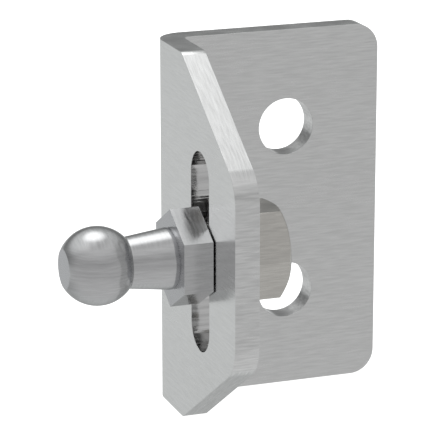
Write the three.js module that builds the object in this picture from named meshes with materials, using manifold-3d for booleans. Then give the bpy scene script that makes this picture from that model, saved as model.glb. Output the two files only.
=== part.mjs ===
// Angle bracket with an adjustable 10 mm ball stud, as used at the end of a gas spring or damper.
//
// Millimetres, +Z up. The origin is on the back of the mounting plate, midway between its two screw
// holes. +Y points out of that back face, towards the wall or panel that carries the bracket. The
// flange stands forward (-Y) from the plate's -X edge, and the ball points along -X.
import * as THREE from 'three';
import { mergeVertices } from 'three/addons/utils/BufferGeometryUtils.js';
import Module from 'manifold-3d';

// Bracket: one steel sheet, cut, punched and bent once
const SHEET = 3.2;
const HEIGHT = 48.8;
const PLATE_WIDTH = 30.5;
const PLATE_CORNER_RADIUS = 3.3;
const BEND_INNER_RADIUS = 0.6;
const FLANGE_DEPTH = 31.4;
const SHOULDER_DEPTH = 11.6;
const SHOULDER_RADIUS = 2;
const SLANT_RISE = 12.7;
const NOSE_RADIUS = 5.4;

// Holes: two for screws in the plate, one slot for the stud in the flange
const SCREW_HOLE_DIAMETER = 7.6;
const SCREW_HOLE_SPACING = 22.6;
const HOLE_FROM_FLANGE = 17.5;
const SLOT_WIDTH = 6.8;
const SLOT_LENGTH = 26.2;
const SLOT_DEPTH = 18.5;

// Ball stud, turned from hexagon bar
const BALL_DIAMETER = 10;
const BALL_END_FLAT_DIAMETER = 5;
const BALL_REACH = 13.6;
const NECK_RADIUS_AT_BALL = 3.28;
const NECK_RADIUS_AT_HEX = 3.94;
const NECK_EDGE_RADIUS = 1.2;
const NECK_EDGE_TURN = (22 * Math.PI) / 180;
const HEX_ACROSS_FLATS = 11.1;
const HEX_REACH = 4;
const SHANK_DIAMETER = 6.2;
const SHANK_CHAMFER = 0.7;
const STUD_DROP = 0.34;

// Fasteners on the stud, behind the flange
const WASHER_OUTER_DIAMETER = 11;
const WASHER_THICKNESS = 1.3;
const WASHER_SPLIT = 0.9;
const WASHER_SPLIT_ANGLE = (20 * Math.PI) / 180;
const NUT_ACROSS_FLATS = 11.4;
const NUT_THICKNESS = 5.3;
const NUT_CHAMFER_ANGLE = (30 * Math.PI) / 180;
const NUT_COUNTERSINK = 0.5;
const BORE_DIAMETER = 6.8;
const SHANK_PAST_NUT = 0.9;

// Clearance between neighbouring solids, and how far a cutting tool runs past what it cuts
const GAP = 0.25;
const OVERRUN = 5;

// Facets
const ROUND_SEGMENTS = 48;
const CORNER_SEGMENTS = 8;
const BALL_SEGMENTS = 16;

// Places worked out from the sizes above
const FLANGE_OUTER_X = -HOLE_FROM_FLANGE;
const FLANGE_INNER_X = FLANGE_OUTER_X + SHEET;
const PLATE_EDGE_X = FLANGE_OUTER_X + PLATE_WIDTH;
const WASHER_X = FLANGE_INNER_X + GAP;
const NUT_X = WASHER_X + WASHER_THICKNESS + GAP;
const SHANK_END_X = NUT_X + NUT_THICKNESS + SHANK_PAST_NUT;

const wasm = await Module();
wasm.setup();

function toSolid(geometry) {
  const bare = geometry.clone();
  bare.deleteAttribute('normal');
  bare.deleteAttribute('uv');
  const merged = mergeVertices(bare, 1e-5);
  const vertProperties = new Float32Array(merged.attributes.position.array);
  const triVerts = new Uint32Array(merged.index.array);
  return new wasm.Manifold(new wasm.Mesh({ numProp: 3, vertProperties, triVerts }));
}

function toGeometry(solid) {
  const mesh = solid.getMesh();
  const geometry = new THREE.BufferGeometry();
  geometry.setAttribute('position', new THREE.BufferAttribute(mesh.vertProperties, 3));
  geometry.setIndex(new THREE.BufferAttribute(mesh.triVerts, 1));
  geometry.computeVertexNormals();
  return geometry;
}

// An outline of { x, y, radius } corners, each with its rounding radius, as a closed THREE.Shape
function roundedShape(corners) {
  const shape = new THREE.Shape();
  corners.forEach((corner, i) => {
    const here = new THREE.Vector2(corner.x, corner.y);
    const previous = corners[(i + corners.length - 1) % corners.length];
    const next = corners[(i + 1) % corners.length];
    const back = new THREE.Vector2(previous.x, previous.y).sub(here).normalize();
    const ahead = new THREE.Vector2(next.x, next.y).sub(here).normalize();
    const halfAngle = Math.acos(back.dot(ahead)) / 2;
    const trim = corner.radius / Math.tan(halfAngle);
    const centre = back.clone().add(ahead).setLength(corner.radius / Math.sin(halfAngle)).add(here);
    const start = here.clone().addScaledVector(back, trim).sub(centre);
    const turn = Math.PI - 2 * halfAngle;
    const side = Math.sign(ahead.cross(back));
    const steps = corner.radius > 0 ? CORNER_SEGMENTS : 0;
    for (let step = 0; step <= steps; step += 1) {
      const angle = steps ? (side * turn * step) / steps : 0;
      const point = start.clone().rotateAround(new THREE.Vector2(), angle).add(centre);
      if (i === 0 && step === 0) {
        shape.moveTo(point.x, point.y);
      } else {
        shape.lineTo(point.x, point.y);
      }
    }
  });
  shape.closePath();
  return shape;
}

function slotShape(width, length) {
  const radius = width / 2;
  const reach = (length - width) / 2;
  const shape = new THREE.Shape();
  for (let step = 0; step <= ROUND_SEGMENTS / 2; step += 1) {
    const angle = (Math.PI * step) / (ROUND_SEGMENTS / 2);
    shape[step ? 'lineTo' : 'moveTo'](radius * Math.cos(angle), reach + radius * Math.sin(angle));
  }
  for (let step = 0; step <= ROUND_SEGMENTS / 2; step += 1) {
    const angle = Math.PI + (Math.PI * step) / (ROUND_SEGMENTS / 2);
    shape.lineTo(radius * Math.cos(angle), -reach + radius * Math.sin(angle));
  }
  shape.closePath();
  return shape;
}

function hexagonShape(acrossFlats, firstCornerAngle) {
  const corners = [];
  for (let i = 0; i < 6; i += 1) {
    const angle = firstCornerAngle + (i * Math.PI) / 3;
    const radius = acrossFlats / Math.sqrt(3);
    corners.push(new THREE.Vector2(radius * Math.cos(angle), radius * Math.sin(angle)));
  }
  return new THREE.Shape(corners);
}

// Prisms. A shape drawn in (x, y) becomes one that lies in (X, Y), (X, Z) or (Y, Z).
function prismAlongZ(shape, fromZ, toZ) {
  const geometry = new THREE.ExtrudeGeometry(shape, { depth: toZ - fromZ, bevelEnabled: false });
  geometry.translate(0, 0, fromZ);
  return toSolid(geometry);
}

function prismAlongY(shape, fromY, toY) {
  const geometry = new THREE.ExtrudeGeometry(shape, { depth: toY - fromY, bevelEnabled: false });
  geometry.rotateX(Math.PI / 2);
  geometry.translate(0, toY, 0);
  return toSolid(geometry);
}

function prismAlongX(shape, fromX, toX) {
  const geometry = new THREE.ExtrudeGeometry(shape, { depth: toX - fromX, bevelEnabled: false });
  geometry.rotateY(Math.PI / 2);
  geometry.rotateX(Math.PI / 2);
  geometry.translate(fromX, 0, 0);
  return toSolid(geometry);
}

// A solid turned about the X axis from [x, radius] points that start and end on the axis
function turned(points) {
  const profile = points.map(([x, radius]) => new THREE.Vector2(radius, x));
  const geometry = new THREE.LatheGeometry(profile, ROUND_SEGMENTS);
  geometry.rotateZ(-Math.PI / 2);
  return toSolid(geometry);
}

// Cross-section of the bent sheet: the plate along X, the flange along -Y
function bentSheet() {
  const front = -SHEET;
  const outerRadius = BEND_INNER_RADIUS + SHEET;
  const section = roundedShape([
    { x: FLANGE_OUTER_X, y: 0, radius: outerRadius },
    { x: FLANGE_OUTER_X, y: -FLANGE_DEPTH, radius: 0 },
    { x: FLANGE_INNER_X, y: -FLANGE_DEPTH, radius: 0 },
    { x: FLANGE_INNER_X, y: front, radius: BEND_INNER_RADIUS },
    { x: PLATE_EDGE_X, y: front, radius: 0 },
    { x: PLATE_EDGE_X, y: 0, radius: 0 },
  ]);
  return prismAlongZ(section, -HEIGHT / 2, HEIGHT / 2);
}

// The side view of the bracket: full height as far as the shoulders, then slanting in to the nose
function sideOutline() {
  const top = HEIGHT / 2;
  const noseTop = top - SLANT_RISE;
  return roundedShape([
    { x: OVERRUN, y: -top, radius: 0 },
    { x: OVERRUN, y: top, radius: 0 },
    { x: -SHOULDER_DEPTH, y: top, radius: SHOULDER_RADIUS },
    { x: -FLANGE_DEPTH, y: noseTop, radius: NOSE_RADIUS },
    { x: -FLANGE_DEPTH, y: -noseTop, radius: NOSE_RADIUS },
    { x: -SHOULDER_DEPTH, y: -top, radius: SHOULDER_RADIUS },
  ]);
}

// The front view of the bracket, with the plate's two free corners rounded
function frontOutline() {
  const top = HEIGHT / 2;
  const left = FLANGE_OUTER_X - OVERRUN;
  return roundedShape([
    { x: left, y: -top, radius: 0 },
    { x: PLATE_EDGE_X, y: -top, radius: PLATE_CORNER_RADIUS },
    { x: PLATE_EDGE_X, y: top, radius: PLATE_CORNER_RADIUS },
    { x: left, y: top, radius: 0 },
  ]);
}

function screwHole(height) {
  const geometry = new THREE.CylinderGeometry(
    SCREW_HOLE_DIAMETER / 2,
    SCREW_HOLE_DIAMETER / 2,
    SHEET + 2 * OVERRUN,
    ROUND_SEGMENTS,
  );
  geometry.translate(0, -SHEET / 2, height);
  return toSolid(geometry);
}

function bracketGeometry() {
  const left = FLANGE_OUTER_X - OVERRUN;
  const right = PLATE_EDGE_X + OVERRUN;
  const front = -FLANGE_DEPTH - OVERRUN;
  let solid = bentSheet();
  solid = solid.intersect(prismAlongX(sideOutline(), left, right));
  solid = solid.intersect(prismAlongY(frontOutline(), front, OVERRUN));
  for (const side of [-1, 1]) {
    solid = solid.subtract(screwHole((side * SCREW_HOLE_SPACING) / 2));
  }
  const slot = prismAlongX(slotShape(SLOT_WIDTH, SLOT_LENGTH), -OVERRUN, SHEET + OVERRUN);
  return toGeometry(solid.subtract(slot.translate([FLANGE_OUTER_X, -SLOT_DEPTH, 0])));
}

// The fasteners are drawn about the stud's axis, with X = 0 at the bracket's origin plane
function ballStudGeometry() {
  const ballRadius = BALL_DIAMETER / 2;
  const ballX = FLANGE_OUTER_X - BALL_REACH;
  const hexX = FLANGE_OUTER_X - HEX_REACH;
  const firstAngle = Math.asin(BALL_END_FLAT_DIAMETER / 2 / ballRadius);
  const lastAngle = Math.PI - Math.asin(NECK_RADIUS_AT_BALL / ballRadius);
  const endX = ballX - ballRadius * Math.cos(firstAngle);
  const profile = [[endX, 0]];
  for (let step = 0; step <= BALL_SEGMENTS; step += 1) {
    const angle = firstAngle + ((lastAngle - firstAngle) * step) / BALL_SEGMENTS;
    profile.push([ballX - ballRadius * Math.cos(angle), ballRadius * Math.sin(angle)]);
  }
  for (let step = 0; step <= CORNER_SEGMENTS / 2; step += 1) {
    const angle = NECK_EDGE_TURN * (step / (CORNER_SEGMENTS / 2));
    const x = hexX - NECK_EDGE_RADIUS * (Math.sin(NECK_EDGE_TURN) - Math.sin(angle));
    const radius = NECK_RADIUS_AT_HEX - NECK_EDGE_RADIUS * (1 - Math.cos(angle));
    profile.push([x, radius]);
  }
  const shankRadius = SHANK_DIAMETER / 2;
  profile.push([hexX + GAP, shankRadius]);
  profile.push([SHANK_END_X - SHANK_CHAMFER, shankRadius]);
  profile.push([SHANK_END_X, shankRadius - SHANK_CHAMFER]);
  profile.push([SHANK_END_X, 0]);
  const hexagon = hexagonShape(HEX_ACROSS_FLATS, Math.PI / 2);
  const hex = prismAlongX(hexagon, hexX, FLANGE_OUTER_X - GAP);
  return toGeometry(turned(profile).add(hex));
}

function lockWasherGeometry() {
  const bore = BORE_DIAMETER / 2;
  const outer = WASHER_OUTER_DIAMETER / 2;
  const farX = WASHER_X + WASHER_THICKNESS;
  const disc = turned([[WASHER_X, 0], [WASHER_X, outer], [farX, outer], [farX, 0]]);
  const hole = turned([
    [WASHER_X - OVERRUN, 0],
    [WASHER_X - OVERRUN, bore],
    [farX + OVERRUN, bore],
    [farX + OVERRUN, 0],
  ]);
  const split = new THREE.BoxGeometry(WASHER_THICKNESS + 2 * OVERRUN, WASHER_SPLIT, outer);
  split.rotateZ(WASHER_SPLIT_ANGLE);
  split.translate(WASHER_X + WASHER_THICKNESS / 2, 0, (bore + outer) / 2);
  return toGeometry(disc.subtract(hole).subtract(toSolid(split)));
}

// Both ends are chamfered down to a circle as wide as the flats
function hexNutGeometry() {
  const bore = BORE_DIAMETER / 2;
  const flat = NUT_ACROSS_FLATS / 2;
  const farX = NUT_X + NUT_THICKNESS;
  const pastCorners = NUT_ACROSS_FLATS / Math.sqrt(3) + GAP;
  const chamfer = (pastCorners - flat) * Math.tan(NUT_CHAMFER_ANGLE);
  const hex = prismAlongX(hexagonShape(NUT_ACROSS_FLATS, 0), NUT_X, farX);
  const blank = turned([
    [NUT_X, 0],
    [NUT_X, flat],
    [NUT_X + chamfer, pastCorners],
    [farX - chamfer, pastCorners],
    [farX, flat],
    [farX, 0],
  ]);
  const countersink = bore + NUT_COUNTERSINK;
  const hole = turned([
    [NUT_X - OVERRUN, 0],
    [NUT_X - OVERRUN, countersink],
    [NUT_X, countersink],
    [NUT_X + NUT_COUNTERSINK, bore],
    [farX - NUT_COUNTERSINK, bore],
    [farX, countersink],
    [farX + OVERRUN, countersink],
    [farX + OVERRUN, 0],
  ]);
  return toGeometry(hex.intersect(blank).subtract(hole));
}

function steelPiece(name, geometry, color, roughness) {
  const material = new THREE.MeshStandardMaterial({ color, roughness, metalness: 1 });
  const mesh = new THREE.Mesh(geometry, material);
  mesh.name = name;
  return mesh;
}

const assembly = new THREE.Group();
assembly.add(steelPiece('bracket', bracketGeometry(), 0xc6c7c7, 0.3));

const fasteners = new THREE.Group();
fasteners.position.set(0, -SLOT_DEPTH, -STUD_DROP);
fasteners.add(steelPiece('ball_stud', ballStudGeometry(), 0xa6a6a7, 0.2));
fasteners.add(steelPiece('lock_washer', lockWasherGeometry(), 0x8c8a88, 0.36));
fasteners.add(steelPiece('hex_nut', hexNutGeometry(), 0x98948c, 0.26));
assembly.add(fasteners);

export default assembly;
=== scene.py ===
"""Looks for the ball stud bracket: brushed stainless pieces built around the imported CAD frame.

Everything is in metres in the CAD's own frame. The bracket is made as its flat blank and then bent,
and the stud, washer and nut are grids of rings about the stud's axis, with real threads.
"""

import math

import bmesh
import bpy
from mathutils import Matrix, Vector


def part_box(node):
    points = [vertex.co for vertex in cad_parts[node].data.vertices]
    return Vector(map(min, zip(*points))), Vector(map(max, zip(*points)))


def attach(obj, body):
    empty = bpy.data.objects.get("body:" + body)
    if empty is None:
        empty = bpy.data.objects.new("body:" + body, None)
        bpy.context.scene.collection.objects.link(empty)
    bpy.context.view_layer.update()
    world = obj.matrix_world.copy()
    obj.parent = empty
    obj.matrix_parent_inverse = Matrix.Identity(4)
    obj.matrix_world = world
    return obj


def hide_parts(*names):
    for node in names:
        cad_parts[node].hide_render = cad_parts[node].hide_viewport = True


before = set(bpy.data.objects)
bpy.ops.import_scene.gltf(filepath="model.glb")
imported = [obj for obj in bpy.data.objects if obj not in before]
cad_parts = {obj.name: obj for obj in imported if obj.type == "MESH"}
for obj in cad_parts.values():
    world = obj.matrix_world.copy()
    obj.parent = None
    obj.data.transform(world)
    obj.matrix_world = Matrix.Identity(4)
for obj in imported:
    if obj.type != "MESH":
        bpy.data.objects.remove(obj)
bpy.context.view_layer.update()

MM = 0.001

# Bracket sheet, from the frame's box where that gives it
bracket_low, bracket_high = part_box("bracket")
SHEET = 3.2 * MM
BEND_INNER_RADIUS = 0.6 * MM
BEND_OUTER_RADIUS = BEND_INNER_RADIUS + SHEET
PLATE_CORNER_RADIUS = 3.3 * MM
SHOULDER_DEPTH = 11.6 * MM
SHOULDER_RADIUS = 2.0 * MM
SLANT_RISE = 12.7 * MM
NOSE_RADIUS = 5.4 * MM
SCREW_HOLE_RADIUS = 3.8 * MM
SCREW_HOLE_SPACING = 22.6 * MM
SLOT_RADIUS = 3.4 * MM
SLOT_LENGTH = 26.2 * MM
EDGE_RADIUS = 0.05 * MM
BEND_STRIPS = 14

# Stud axis and the fasteners' ends along it, from the frame
stud_low, stud_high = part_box("ball_stud")
washer_low, washer_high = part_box("lock_washer")
nut_low, nut_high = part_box("hex_nut")
AXIS_Y = (stud_low.y + stud_high.y) / 2
AXIS_Z = (stud_low.z + stud_high.z) / 2
FLANGE_OUTER_X = bracket_low.x
FLANGE_INNER_X = bracket_low.x + SHEET
SEAT_CLEARANCE = 0.01 * MM

# Ball stud
BALL_RADIUS = 5 * MM
BALL_END_FLAT_RADIUS = 2.5 * MM
NECK_RADIUS_AT_BALL = 3.28 * MM
NECK_RADIUS_AT_HEX = 3.94 * MM
NECK_EDGE_RADIUS = 1.2 * MM
NECK_EDGE_TURN = math.radians(22)
HEX_REACH = 4 * MM
HEX_SEAT_RADIUS = 4.6 * MM
HEX_SEAT_HEIGHT = 0.14 * MM
HEX_CORNER_RADIUS = 0.08 * MM
UNDERCUT_RADIUS = 2.45 * MM

# Thread: 1/4 in, 20 turns to the inch
PITCH = 1.27 * MM
THREAD_MAJOR_RADIUS = 3.12 * MM
THREAD_MINOR_RADIUS = 2.4 * MM
THREAD_CLEARANCE = 0.05 * MM
NUT_BORE_RADIUS = 2.62 * MM

# Washer and nut
WASHER_BORE_RADIUS = 3.3 * MM
WASHER_SPLIT = 0.9 * MM
WASHER_SPLIT_LEAN = math.radians(20)
NUT_CHAMFER = math.radians(30)
NUT_FACE_SHARE = 0.96
NUT_START = 1.6 * MM
NUT_LIP = 0.12 * MM
NUT_COUNTERSINK = 0.25 * MM
WASHER_END = 1.58 * MM
WASHER_CORNER_RADIUS = 0.18 * MM

# How worn the marked edges are, from 0 to 1
FULL_WEAR = 1.0
NUT_WEAR = 0.8
WASHER_WEAR = 0.2

# Camera
CAMERA_AZIMUTH = math.radians(-19.795)
CAMERA_ELEVATION = math.radians(15.936)
CAMERA_ROLL = math.radians(-0.06)
CAMERA_DISTANCE = 337.5 * MM
CAMERA_TARGET = Vector((-14.13, -15.67, 3.5)) * MM
CAMERA_LENS = 219.7
CAMERA_SENSOR = 36.0


# ---------------------------------------------------------------- materials

def node(tree, kind, **settings):
    made = tree.nodes.new(kind)
    for name, value in settings.items():
        setattr(made, name, value)
    return made


def noise(tree, coordinates, scale, detail):
    """Noise stretched by scale, in waves per metre along X, Y and Z."""
    mapping = node(tree, "ShaderNodeMapping")
    mapping.inputs["Scale"].default_value = scale
    made = node(tree, "ShaderNodeTexNoise")
    made.inputs["Scale"].default_value = 1.0
    made.inputs["Detail"].default_value = detail
    made.inputs["Roughness"].default_value = 0.5
    tree.links.new(coordinates.outputs["Object"], mapping.inputs["Vector"])
    tree.links.new(mapping.outputs["Vector"], made.inputs["Vector"])
    return made.outputs["Fac"]


def spread(tree, source, low, high, span=0.2):
    """Stretches the middle of a noise, 0.5 plus or minus span, to low and high."""
    made = node(tree, "ShaderNodeMapRange")
    made.inputs["From Min"].default_value = 0.5 - span
    made.inputs["From Max"].default_value = 0.5 + span
    made.inputs["To Min"].default_value = low
    made.inputs["To Max"].default_value = high
    tree.links.new(source, made.inputs["Value"])
    return made.outputs["Result"]


def mixed(tree, factor, first, second):
    made = node(tree, "ShaderNodeMix", data_type="FLOAT")
    tree.links.new(factor, made.inputs["Factor"])
    tree.links.new(first, made.inputs["A"])
    tree.links.new(second, made.inputs["B"])
    return made.outputs["Result"]


def smooth_step(tree, source, start, end):
    made = node(tree, "ShaderNodeMapRange", interpolation_type="SMOOTHSTEP")
    made.inputs["From Min"].default_value = start
    made.inputs["From Max"].default_value = end
    tree.links.new(source, made.inputs["Value"])
    return made.outputs["Result"]


def brushed_grain(tree, coordinates, level_tops):
    """Streaks that lie level on upright faces, and run front to back on slanted ones."""
    level = noise(tree, coordinates, LEVEL_GRAIN, 2.0)
    lengthwise = noise(tree, coordinates, LENGTHWISE_GRAIN, 2.0)
    parts = node(tree, "ShaderNodeSeparateXYZ")
    tree.links.new(coordinates.outputs["Normal"], parts.inputs["Vector"])
    upward = node(tree, "ShaderNodeMath", operation="ABSOLUTE")
    tree.links.new(parts.outputs["Z"], upward.inputs[0])
    slanted = smooth_step(tree, upward.outputs["Value"], 0.55, 0.75)
    grain = mixed(tree, slanted, level, lengthwise)
    if level_tops:
        flat = smooth_step(tree, upward.outputs["Value"], 0.93, 0.99)
        grain = mixed(tree, flat, grain, level)
    return grain


def steel(
    name,
    color,
    roughness,
    streak=0.06,
    rough_spread=0.05,
    bump=0.15,
    relief_depth=0.01 * MM,
    level_tops=True,
    grain=None,
):
    """Brushed steel: fine streaks in colour, roughness and height, soft smudges, brighter worn edges."""
    material = bpy.data.materials.new(name)
    material.use_nodes = True
    tree = material.node_tree
    shader = tree.nodes["Principled BSDF"]
    shader.inputs["Metallic"].default_value = 1.0
    coordinates = node(tree, "ShaderNodeTexCoord")
    if grain:
        streaks = noise(tree, coordinates, grain, 2.0)
    else:
        streaks = brushed_grain(tree, coordinates, level_tops)
    smudges = noise(tree, coordinates, SMUDGES, 2.0)

    tone = node(tree, "ShaderNodeMix", data_type="RGBA")
    tone.inputs["A"].default_value = (*[c * (1 - streak) for c in color], 1)
    tone.inputs["B"].default_value = (*[min(1.0, c * (1 + streak)) for c in color], 1)
    tree.links.new(spread(tree, streaks, 0, 1), tone.inputs["Factor"])

    worn = node(tree, "ShaderNodeAttribute", attribute_name="edge_wear")
    wear = node(tree, "ShaderNodeMath", operation="MULTIPLY")
    tree.links.new(worn.outputs["Fac"], wear.inputs[0])
    tree.links.new(spread(tree, smudges, 0.1, 0.9), wear.inputs[1])
    edged = node(tree, "ShaderNodeMix", data_type="RGBA")
    edged.inputs["B"].default_value = (*[min(1.0, c * 1.05) for c in color], 1)
    tree.links.new(wear.outputs["Value"], edged.inputs["Factor"])
    tree.links.new(tone.outputs["Result"], edged.inputs["A"])
    tree.links.new(edged.outputs["Result"], shader.inputs["Base Color"])

    fine = spread(tree, streaks, -rough_spread, rough_spread)
    soft = spread(tree, smudges, roughness - 0.02, roughness + 0.02)
    total = node(tree, "ShaderNodeMath", operation="ADD", use_clamp=True)
    tree.links.new(fine, total.inputs[0])
    tree.links.new(soft, total.inputs[1])
    tree.links.new(total.outputs["Value"], shader.inputs["Roughness"])

    relief = node(tree, "ShaderNodeBump")
    relief.inputs["Strength"].default_value = bump
    relief.inputs["Distance"].default_value = relief_depth
    tree.links.new(streaks, relief.inputs["Height"])
    tree.links.new(relief.outputs["Normal"], shader.inputs["Normal"])
    return material


# Waves per metre along X, Y and Z: streaks run along the axes with the small numbers
LEVEL_GRAIN = (380, 380, 3800)
LENGTHWISE_GRAIN = (3800, 380, 380)
SLOT_GRAIN = (60, 300, 1500)
HOLE_GRAIN = (250, 1200, 3800)
SMUDGES = (140, 140, 140)

SHEET_FACE = steel("sheet_face", (0.778, 0.782, 0.78), 0.22)
SHEET_EDGE = steel("sheet_edge", (0.778, 0.782, 0.78), 0.22, streak=0.11, bump=0.3)
HOLE_WALL = steel("hole_wall", (0.72, 0.72, 0.72), 0.12, streak=0.14, bump=0.8, grain=HOLE_GRAIN)
SLOT_WALL = steel(
    "slot_wall", (0.72, 0.72, 0.72), 0.1, streak=0.16, bump=1.0, relief_depth=0.06 * MM, grain=SLOT_GRAIN
)
# A darker, slightly bluer copy of the stud steel for the end faces that face away along the axis: painted
# shade.
SHADED_END_STEEL = steel("shaded_end_steel", (0.525, 0.528, 0.545), 0.26, level_tops=False)
STUD_STEEL = steel("stud_steel", (0.595, 0.598, 0.604), 0.18, streak=0.07, bump=0.35, level_tops=False)
# Near-black steel for the seat collar behind the hexagon: painted shade for the dark gap between the
# hexagon and the flange.
GAP_SHADE_STEEL = steel("painted_gap_shade", (0.02, 0.02, 0.02), 0.5)
THREAD_STEEL = steel("thread_steel", (0.75, 0.75, 0.75), 0.3)
WASHER_STEEL = steel("washer_steel", (0.5, 0.495, 0.49), 0.34, streak=0.08)
NUT_STEEL = steel("nut_steel", (0.585, 0.57, 0.538), 0.22, streak=0.1, bump=0.3)


# ---------------------------------------------------------------- mesh helpers

SHARP_ANGLE = math.radians(32)


def piece(name, bm, materials, body, cad_node):
    """Turns a bmesh into a smooth object that rides on its body and stands for its CAD node."""
    bmesh.ops.recalc_face_normals(bm, faces=bm.faces)
    mesh = bpy.data.meshes.new(name)
    bm.to_mesh(mesh)
    bm.free()
    for material in materials:
        mesh.materials.append(material)
    mesh.shade_smooth()
    mesh.set_sharp_from_angle(angle=SHARP_ANGLE)
    made = bpy.data.objects.new(name, mesh)
    bpy.context.scene.collection.objects.link(made)
    weighted = made.modifiers.new("weighted", "WEIGHTED_NORMAL")
    weighted.weight = 90
    weighted.keep_sharp = True
    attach(made, body)
    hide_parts(cad_node)
    return made


def arc(centre, radius, start, end, steps):
    """Points on an arc, both ends included."""
    return [
        (
            centre[0] + radius * math.cos(start + (end - start) * i / steps),
            centre[1] + radius * math.sin(start + (end - start) * i / steps),
        )
        for i in range(steps + 1)
    ]


def rounded(corners, steps=16):
    """A closed outline through (x, y, radius) corners, with each corner rounded."""
    points = []
    for i, (x, y, radius) in enumerate(corners):
        here = Vector((x, y))
        back = (Vector(corners[i - 1][:2]) - here).normalized()
        ahead = (Vector(corners[(i + 1) % len(corners)][:2]) - here).normalized()
        if radius == 0:
            points.append((x, y))
            continue
        half = back.angle(ahead) / 2
        centre = here + (back + ahead).normalized() * radius / math.sin(half)
        first = here + back * radius / math.tan(half) - centre
        turn = (math.pi - 2 * half) * (1 if back.cross(ahead) < 0 else -1)
        angle = math.atan2(first.y, first.x)
        points += arc(centre, radius, angle, angle + turn, steps)
    return points


def inset(loop, distance):
    """The outline moved into the material, which lies on its left, by distance."""
    moved = []
    for i, point in enumerate(loop):
        here = Vector(point)
        before = (here - Vector(loop[i - 1])).normalized()
        after = (Vector(loop[(i + 1) % len(loop)]) - here).normalized()
        along = (before + after).normalized()
        left = Vector((-along.y, along.x))
        stretch = max(0.5, left.dot(Vector((-after.y, after.x))))
        moved.append(tuple(here + left * distance / stretch))
    return moved


def rim_profile(thickness, radius, steps=3):
    """(inset, depth) pairs from one face of a sheet, round its edge, to the other face."""
    turn = [math.pi / 2 * i / steps for i in range(steps + 1)]
    near = [(radius * (1 - math.sin(a)), radius * (1 - math.cos(a))) for a in turn]
    return near + [(side, thickness - depth) for side, depth in reversed(near)]


# ---------------------------------------------------------------- bracket

BEND_LENGTH = (BEND_OUTER_RADIUS - SHEET / 2) * math.pi / 2


def blank_outline():
    """The flat blank, anticlockwise: u runs along the sheet from the bend, v is the height."""
    right = bracket_high.x - (FLANGE_OUTER_X + BEND_OUTER_RADIUS)
    top = bracket_high.z
    flange_start = -BEND_LENGTH + BEND_OUTER_RADIUS
    shoulder = flange_start - SHOULDER_DEPTH
    nose = flange_start + bracket_low.y
    corners = [
        (right, -top, PLATE_CORNER_RADIUS),
        (right, top, PLATE_CORNER_RADIUS),
        *[(-BEND_LENGTH * i / BEND_STRIPS, top, 0) for i in range(BEND_STRIPS + 1)],
        (shoulder, top, SHOULDER_RADIUS),
        (nose, top - SLANT_RISE, NOSE_RADIUS),
        (nose, -top + SLANT_RISE, NOSE_RADIUS),
        (shoulder, -top, SHOULDER_RADIUS),
        *[(-BEND_LENGTH * i / BEND_STRIPS, -top, 0) for i in range(BEND_STRIPS, -1, -1)],
    ]
    return rounded(corners)


def blank_holes():
    """The screw holes and the slot, clockwise, so that the material is on their left."""
    hole_u = -(FLANGE_OUTER_X + BEND_OUTER_RADIUS)
    slot_u = -BEND_LENGTH + BEND_OUTER_RADIUS + AXIS_Y
    holes = []
    for side in (-1, 1):
        centre = (hole_u, side * SCREW_HOLE_SPACING / 2)
        holes.append(arc(centre, SCREW_HOLE_RADIUS, math.tau, 0, 96)[:-1])
    reach = SLOT_LENGTH / 2 - SLOT_RADIUS
    upper = arc((slot_u, reach), SLOT_RADIUS, math.pi, 0, 40)
    lower = arc((slot_u, -reach), SLOT_RADIUS, 0, -math.pi, 40)
    holes.append(upper + lower)
    return holes


def bend(u, v, depth):
    """Where a point of the blank lies once the sheet is bent. Depth is measured from the back."""
    centre_x = FLANGE_OUTER_X + BEND_OUTER_RADIUS
    if u >= 0:
        return Vector((centre_x + u, -depth, v))
    if u <= -BEND_LENGTH:
        return Vector((FLANGE_OUTER_X + depth, -BEND_OUTER_RADIUS + u + BEND_LENGTH, v))
    angle = -u / BEND_LENGTH * math.pi / 2
    radius = BEND_OUTER_RADIUS - depth
    return Vector(
        (centre_x - radius * math.sin(angle), -BEND_OUTER_RADIUS + radius * math.cos(angle), v)
    )


def fill_face(bm, loops):
    """Fills the area between loops of vertices, and cuts it into strips where the sheet bends."""
    edges = []
    for loop in loops:
        for i, vert in enumerate(loop):
            other = loop[(i + 1) % len(loop)]
            edges.append(bm.edges.get((vert, other)) or bm.edges.new((vert, other)))
    filled = bmesh.ops.triangle_fill(bm, use_beauty=True, edges=edges)["geom"]
    faces = [g for g in filled if isinstance(g, bmesh.types.BMFace)]
    for i in range(BEND_STRIPS + 1):
        cut_edges = {e for f in faces for e in f.edges}
        cut_verts = {v for f in faces for v in f.verts}
        cut = bmesh.ops.bisect_plane(
            bm,
            geom=faces + list(cut_edges) + list(cut_verts),
            dist=1e-7,
            plane_co=(-BEND_LENGTH * i / BEND_STRIPS, 0, 0),
            plane_no=(1, 0, 0),
        )
        faces = [g for g in cut["geom"] if isinstance(g, bmesh.types.BMFace)]
    return faces


# The material of each wall: the sheet's outline, the two screw holes and the slot
WALL_MATERIALS = (1, 2, 2, 3)


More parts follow.
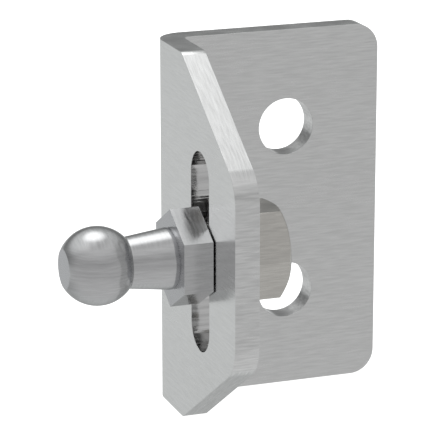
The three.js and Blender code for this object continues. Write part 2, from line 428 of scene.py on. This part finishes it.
def make_bracket():
    bm = bmesh.new()
    wear = bm.verts.layers.float.new("edge_wear")
    outline, holes = blank_outline(), blank_holes()
    profile = rim_profile(SHEET, EDGE_RADIUS)
    faces_of = {0: [], 1: []}
    for number, loop in enumerate([outline, *holes]):
        rings = []
        for step, (distance, depth) in enumerate(profile):
            points = inset(loop, distance)
            ring = [bm.verts.new((u, v, depth)) for u, v in points]
            for vert in ring:
                vert[wear] = FULL_WEAR if step in (1, 2, len(profile) - 3, len(profile) - 2) else 0.0
            rings.append(ring)
        for first, second in zip(rings, rings[1:]):
            for i in range(len(loop)):
                j = (i + 1) % len(loop)
                wall = bm.faces.new((first[i], first[j], second[j], second[i]))
                wall.material_index = WALL_MATERIALS[number]
        faces_of[0].append(rings[0])
        faces_of[1].append(rings[-1])
    for loops in faces_of.values():
        fill_face(bm, loops)
    for vert in bm.verts:
        vert.co = bend(*vert.co)
    materials = [SHEET_FACE, SHEET_EDGE, HOLE_WALL, SLOT_WALL]
    piece("bracket_sheet", bm, materials, "bracket", "bracket")


# ---------------------------------------------------------------- turned pieces

def hexagon(across_flats, corner_radius, first_corner, flat_points=14, corner_points=4):
    """(angle, radius) pairs of a hexagon with rounded corners, in order of angle."""
    radius = across_flats / math.sqrt(3)
    corners = [
        (
            radius * math.cos(first_corner + i * math.pi / 3),
            radius * math.sin(first_corner + i * math.pi / 3),
            corner_radius,
        )
        for i in range(6)
    ]
    outline = rounded(corners, corner_points)
    dense = []
    for i, point in enumerate(outline):
        dense.append(point)
        if i % (corner_points + 1) == corner_points:
            after = outline[(i + 1) % len(outline)]
            for k in range(1, flat_points):
                share = k / flat_points
                dense.append(
                    (point[0] + (after[0] - point[0]) * share, point[1] + (after[1] - point[1]) * share)
                )
    return [(math.atan2(y, x), math.hypot(x, y)) for x, y in dense]


def thread_radius(x, angle, minor, major):
    """A 60 degree thread: flat crests an eighth of the pitch wide, and flat roots a quarter."""
    phase = (x / PITCH - angle / math.tau) % 1.0
    from_crest = min(phase, 1 - phase)
    share = (from_crest - 1 / 16) / (3 / 8 - 1 / 16)
    return major - (major - minor) * min(1.0, max(0.0, share))


def add_rings(bm, rings, closed=False):
    """Joins rings of (x, angle, radius) points about the stud's axis into quads."""
    made = []
    for ring in rings:
        made.append(
            [
                bm.verts.new((x, AXIS_Y + r * math.cos(a), AXIS_Z + r * math.sin(a)))
                for x, a, r in ring
            ]
        )
    faces = []
    pairs = list(zip(made, made[1:])) + ([(made[-1], made[0])] if closed else [])
    for first, second in pairs:
        row = []
        for i in range(len(first)):
            j = (i + 1) % len(first)
            row.append(bm.faces.new((first[i], first[j], second[j], second[i])))
        faces.append(row)
    return made, faces


def thread_rings(angles, start, end, radius_at, steps_per_pitch=12):
    """Rings that follow a helix from start to end, so that crests and roots stay sharp.

    A ring jumps by a whole pitch where the angle wraps round, which leaves one distorted strip there.
    """
    rings = []
    count = math.ceil((abs(end - start) / PITCH + 1) * steps_per_pitch)
    low, high = min(start, end), max(start, end)
    for i in range(count + 1):
        ring = []
        for angle in angles:
            turn = (angle % math.tau) / math.tau
            along = low + PITCH * (i / steps_per_pitch - 1 + turn)
            x = min(high, max(low, along))
            ring.append((x, angle, radius_at(x, angle)))
        rings.append(ring)
    return rings if start < end else rings[::-1]


def stud_profile(ball_x, hex_x):
    """(x, radius) points of the turned front of the stud, from the ball's flat end to the hexagon."""
    first = math.asin(BALL_END_FLAT_RADIUS / BALL_RADIUS)
    last = math.pi - math.asin(NECK_RADIUS_AT_BALL / BALL_RADIUS)
    end_x = ball_x - BALL_RADIUS * math.cos(first)
    points = [(end_x, BALL_END_FLAT_RADIUS * share) for share in (0.5, 0.9, 0.98)]
    steps = 72
    for i in range(steps + 1):
        angle = first + (last - first) * i / steps
        points.append((ball_x - BALL_RADIUS * math.cos(angle), BALL_RADIUS * math.sin(angle)))
    neck_start = points[-1][0]
    centre_x = hex_x - NECK_EDGE_RADIUS * math.sin(NECK_EDGE_TURN)
    taper = math.atan((NECK_RADIUS_AT_HEX - NECK_RADIUS_AT_BALL) / (centre_x - neck_start))
    edge = []
    for i in range(13):
        angle = -taper + (NECK_EDGE_TURN + taper) * i / 12
        drop = NECK_EDGE_RADIUS * (1 - math.cos(angle))
        edge.append((centre_x + NECK_EDGE_RADIUS * math.sin(angle), NECK_RADIUS_AT_HEX - drop))
    for i in range(1, 7):
        share = i / 7
        x = neck_start + (edge[0][0] - neck_start) * share
        points.append((x, NECK_RADIUS_AT_BALL + (edge[0][1] - NECK_RADIUS_AT_BALL) * share))
    return points + edge


def edge_steps(radius, steps=3):
    """(along, inward) pairs round an edge, from the end face to the side."""
    turn = [math.pi / 2 * i / steps for i in range(steps + 1)]
    return [(radius * (1 - math.cos(a)), radius * (1 - math.sin(a))) for a in turn]


def make_stud():
    bm = bmesh.new()
    wear = bm.verts.layers.float.new("edge_wear")
    hex_x = FLANGE_OUTER_X - HEX_REACH
    ball_x = stud_low.x + math.sqrt(BALL_RADIUS**2 - BALL_END_FLAT_RADIUS**2)
    outline = hexagon(stud_high.y - stud_low.y, HEX_CORNER_RADIUS, math.pi / 2)
    angles = [angle for angle, _ in outline]

    rings = [[(x, a, r) for a in angles] for x, r in stud_profile(ball_x, hex_x)]
    hex_first = len(rings)
    hex_end = FLANGE_OUTER_X - SEAT_CLEARANCE - HEX_SEAT_HEIGHT
    near = edge_steps(EDGE_RADIUS)
    for along, inward in near:
        rings.append([(hex_x + along, a, r - inward) for a, r in outline])
    for along, inward in reversed(near):
        rings.append([(hex_end - along, a, r - inward) for a, r in outline])
    hex_last = len(rings)
    seat_x = FLANGE_OUTER_X - SEAT_CLEARANCE
    for x, r in ((hex_end, HEX_SEAT_RADIUS), (seat_x, HEX_SEAT_RADIUS), (seat_x, UNDERCUT_RADIUS)):
        rings.append([(x, a, r) for a in angles])
    thread_start = FLANGE_OUTER_X + PITCH / 2
    rings.append([(thread_start, a, UNDERCUT_RADIUS) for a in angles])

    def radius_at(x, angle):
        cut = thread_radius(x, angle, THREAD_MINOR_RADIUS, THREAD_MAJOR_RADIUS)
        lead_in = UNDERCUT_RADIUS + (x - thread_start)
        tip = THREAD_MINOR_RADIUS + (stud_high.x - x)
        return min(cut, lead_in, tip)

    thread_first = len(rings)
    rings += thread_rings(angles, thread_start, stud_high.x, radius_at)
    rings.append([(stud_high.x, a, THREAD_MINOR_RADIUS * 0.6) for a in angles])
    made, faces = add_rings(bm, rings)
    # The seat collar between the hexagon and the flange gets the near-black steel: painted shade in the
    # gap.
    for face in faces[hex_last]:
        face.material_index = 2
    # The ball's flat end and the hexagon's end face get the darker copy of the stud steel: painted shade.
    for row in [*faces[:3], faces[hex_first - 1]]:
        for face in row:
            face.material_index = 3
    for row in faces[thread_first - 2:]:
        for face in row:
            face.material_index = 1
    bm.faces.new(made[0][::-1]).material_index = 3
    bm.faces.new(made[-1])
    for ring in (hex_first + 1, hex_first + 2, hex_last - 3, hex_last - 2):
        for vert in made[ring]:
            vert[wear] = FULL_WEAR
    bmesh.ops.remove_doubles(bm, verts=bm.verts, dist=1e-8)
    materials = [STUD_STEEL, THREAD_STEEL, GAP_SHADE_STEEL, SHADED_END_STEEL]
    piece("ball_stud_turned", bm, materials, "stud", "ball_stud")


def make_nut():
    bm = bmesh.new()
    wear = bm.verts.layers.float.new("edge_wear")
    across_flats = nut_high.z - nut_low.z
    outline = hexagon(across_flats, HEX_CORNER_RADIUS, 0)
    angles = [angle for angle, _ in outline]
    face_radius = across_flats / 2 * NUT_FACE_SHARE
    start, end = FLANGE_INNER_X + NUT_START, nut_high.x

    def chamfered(face_x, inward):
        """Rings from the flat end face over its chamfer to the sides."""
        lip = NUT_LIP
        rows = [
            [(face_x, a, face_radius - lip) for a in angles],
            [(face_x + inward * lip * 0.25, a, face_radius) for a in angles],
        ]
        for back, side in ((1.0, 1.0), (0.35, 0.3), (0.0, 0.0)):
            row = []
            for a, r in outline:
                height = (r - face_radius) * math.tan(NUT_CHAMFER)
                x = height + lip * (0.5 - back * 0.5) + lip * 0.25
                row.append((face_x + inward * x, a, r - lip * 0.35 * side))
            rows.append(row)
        return rows

    bore = NUT_BORE_RADIUS
    mouth = THREAD_MAJOR_RADIUS + NUT_COUNTERSINK

    def radius_at(x, angle):
        thread = thread_radius(
            x, angle, THREAD_MINOR_RADIUS + THREAD_CLEARANCE, THREAD_MAJOR_RADIUS + THREAD_CLEARANCE
        )
        cone = mouth - min(x - start, end - x)
        return max(bore, thread, cone)

    rings = chamfered(start, 1) + chamfered(end, -1)[::-1]
    outer = len(rings)
    rings.append([(end, a, mouth) for a in angles])
    rings += thread_rings(angles, end, start, radius_at)
    made, faces = add_rings(bm, rings, closed=True)
    for row in faces[outer:-1]:
        for face in row:
            face.material_index = 1
    for ring in (1, 3, outer - 4, outer - 2):
        for vert in made[ring]:
            vert[wear] = NUT_WEAR
    bmesh.ops.remove_doubles(bm, verts=bm.verts, dist=1e-8)
    piece("hex_nut_forged", bm, [NUT_STEEL, THREAD_STEEL], "nut", "hex_nut")


def make_washer():
    """A coil of one turn with a rounded rectangular section, cut by a leaning split."""
    bm = bmesh.new()
    wear = bm.verts.layers.float.new("edge_wear")
    start = FLANGE_INNER_X + SEAT_CLEARANCE
    end = FLANGE_INNER_X + WASHER_END
    outer = (washer_high.y - washer_low.y) / 2
    bore = WASHER_BORE_RADIUS
    middle, half_width, half_height = (bore + outer) / 2, (outer - bore) / 2, (end - start) / 2
    corner = WASHER_CORNER_RADIUS
    section = rounded(
        [
            (half_height, -half_width, corner),
            (half_height, half_width, corner),
            (-half_height, half_width, corner),
            (-half_height, -half_width, corner),
        ],
        4,
    )
    centre_x = (start + end) / 2
    steps = 120
    rings = []
    for i in range(steps + 1):
        ring = []
        for along, out in section:
            radius = middle + out
            half_gap = (WASHER_SPLIT / 2) / radius
            lean = math.tan(WASHER_SPLIT_LEAN) * along / radius
            first = math.pi / 2 + half_gap + lean
            last = math.pi / 2 + math.tau - half_gap + lean
            angle = first + (last - first) * i / steps
            ring.append(
                bm.verts.new(
                    (
                        centre_x + along,
                        AXIS_Y + radius * math.cos(angle),
                        AXIS_Z + radius * math.sin(angle),
                    )
                )
            )
        rings.append(ring)
    for first, second in zip(rings, rings[1:]):
        for i in range(len(section)):
            j = (i + 1) % len(section)
            bm.faces.new((first[i], first[j], second[j], second[i]))
    bm.faces.new(rings[0][::-1])
    bm.faces.new(rings[-1])
    for vert in bm.verts:
        vert[wear] = WASHER_WEAR
    piece("lock_washer_split", bm, [WASHER_STEEL], "washer", "lock_washer")


# ---------------------------------------------------------------- stage, light and camera

def make_floor():
    bm = bmesh.new()
    bmesh.ops.create_circle(bm, cap_ends=True, segments=96, radius=1.5)
    mesh = bpy.data.meshes.new("floor")
    bm.to_mesh(mesh)
    bm.free()
    floor = bpy.data.objects.new("floor", mesh)
    floor.location = (0, 0, bracket_low.z)
    bpy.context.scene.collection.objects.link(floor)
    floor.visible_glossy = False
    material = bpy.data.materials.new("floor_white")
    material.use_nodes = True
    shader = material.node_tree.nodes["Principled BSDF"]
    shader.inputs["Base Color"].default_value = (0.75, 0.75, 0.75, 1)
    shader.inputs["Roughness"].default_value = 0.9
    shader.inputs["Specular IOR Level"].default_value = 0.0
    shader.inputs["Emission Color"].default_value = (1, 1, 1, 1)
    shader.inputs["Emission Strength"].default_value = 0.9
    mesh.materials.append(material)


# What the steel reflects, as (sine of the elevation, brightness) in front of the bracket and behind it
FRONT_GLOW = (
    (-1.0, 0.63), (-0.5, 0.58), (-0.28, 0.51), (0.02, 0.53),
    (0.32, 0.44), (0.57, 0.54), (0.85, 0.68), (1.0, 0.58),
)
BACK_GLOW = (
    (-1.0, 0.63), (-0.62, 0.43), (-0.26, 0.65), (-0.04, 0.5),
    (0.12, 0.24), (0.3, 0.24), (0.6, 0.5), (1.0, 0.58),
)
BACK_TINT = (0.985, 1.003, 1.0)

# Soft panels overhead: direction, half-angle of the even middle, half-angle of the faded edge, brightness
PANELS = (
    (Vector((0.04, 0.4, 0.91)), 6, 27, 0.95),
    (Vector((-0.3, 0.45, 0.84)), 5, 48, 0.33),
)


def ramp(tree, source, stops, tint):
    """A curve of brightness over the sine of the elevation, which runs from -1 to 1."""
    made = node(tree, "ShaderNodeValToRGB")
    elements = made.color_ramp.elements
    while len(elements) < len(stops):
        elements.new(1.0)
    for element, (height, glow) in zip(elements, stops):
        element.position = (height + 1) / 2
        element.color = (*[glow / 2 * share for share in tint], 1)
    made.color_ramp.interpolation = "EASE"
    half = node(tree, "ShaderNodeMath", operation="MULTIPLY_ADD")
    half.inputs[1].default_value = 0.5
    half.inputs[2].default_value = 0.5
    tree.links.new(source, half.inputs[0])
    tree.links.new(half.outputs["Value"], made.inputs["Fac"])
    return made.outputs["Color"]


def make_world():
    """A studio that the steel reflects, darker at the horizon behind, with two soft panels overhead.

    The camera itself sees a plain white backdrop.
    """
    world = bpy.data.worlds.new("studio")
    world.use_nodes = True
    tree = world.node_tree
    coordinates = node(tree, "ShaderNodeTexCoord")
    parts = node(tree, "ShaderNodeSeparateXYZ")
    tree.links.new(coordinates.outputs["Generated"], parts.inputs["Vector"])
    front = ramp(tree, parts.outputs["Z"], FRONT_GLOW, (1.0, 1.0, 1.0))
    back = ramp(tree, parts.outputs["Z"], BACK_GLOW, BACK_TINT)
    behind = node(tree, "ShaderNodeMapRange", interpolation_type="SMOOTHSTEP")
    behind.inputs["From Min"].default_value = -0.3
    behind.inputs["From Max"].default_value = 0.6
    tree.links.new(parts.outputs["Y"], behind.inputs["Value"])
    around = node(tree, "ShaderNodeMix", data_type="RGBA")
    tree.links.new(behind.outputs["Result"], around.inputs["Factor"])
    tree.links.new(front, around.inputs["A"])
    tree.links.new(back, around.inputs["B"])

    glows = [(around.outputs["Result"], 2.0)]
    for direction, inner, outer, glow in PANELS:
        towards = node(tree, "ShaderNodeVectorMath", operation="DOT_PRODUCT")
        towards.inputs[1].default_value = direction.normalized()
        tree.links.new(coordinates.outputs["Generated"], towards.inputs[0])
        panel = node(tree, "ShaderNodeMapRange", interpolation_type="SMOOTHSTEP")
        panel.inputs["From Min"].default_value = math.cos(math.radians(outer))
        panel.inputs["From Max"].default_value = math.cos(math.radians(inner))
        tree.links.new(towards.outputs["Value"], panel.inputs["Value"])
        glows.append((panel.outputs["Result"], glow))

    total = None
    for source, strength in glows:
        background = node(tree, "ShaderNodeBackground")
        background.inputs["Strength"].default_value = strength
        tree.links.new(source, background.inputs["Color"])
        if total is None:
            total = background.outputs["Background"]
            continue
        added = node(tree, "ShaderNodeAddShader")
        tree.links.new(total, added.inputs[0])
        tree.links.new(background.outputs["Background"], added.inputs[1])
        total = added.outputs["Shader"]

    backdrop = node(tree, "ShaderNodeBackground")
    backdrop.inputs["Color"].default_value = (1, 1, 1, 1)
    path = node(tree, "ShaderNodeLightPath")
    seen = node(tree, "ShaderNodeMixShader")
    tree.links.new(path.outputs["Is Camera Ray"], seen.inputs["Fac"])
    tree.links.new(total, seen.inputs[1])
    tree.links.new(backdrop.outputs["Background"], seen.inputs[2])
    tree.links.new(seen.outputs["Shader"], tree.nodes["World Output"].inputs["Surface"])
    bpy.context.scene.world = world


def make_camera():
    back = Vector(
        (
            math.sin(CAMERA_AZIMUTH) * math.cos(CAMERA_ELEVATION),
            -math.cos(CAMERA_AZIMUTH) * math.cos(CAMERA_ELEVATION),
            math.sin(CAMERA_ELEVATION),
        )
    )
    data = bpy.data.cameras.new("camera")
    data.lens = CAMERA_LENS
    data.sensor_width = CAMERA_SENSOR
    data.clip_start = 0.01
    data.clip_end = 10
    camera = bpy.data.objects.new("camera", data)
    right = Vector((math.cos(CAMERA_AZIMUTH), math.sin(CAMERA_AZIMUTH), 0))
    up = back.cross(right)
    turned = Matrix((right, up, back)).transposed().to_4x4()
    place = Matrix.Translation(CAMERA_TARGET + back * CAMERA_DISTANCE)
    camera.matrix_world = place @ turned @ Matrix.Rotation(CAMERA_ROLL, 4, "Z")
    bpy.context.scene.collection.objects.link(camera)
    bpy.context.scene.camera = camera


make_camera()
make_bracket()
make_stud()
make_washer()
make_nut()
make_floor()
make_world()
bpy.context.scene.view_settings.view_transform = "Standard"
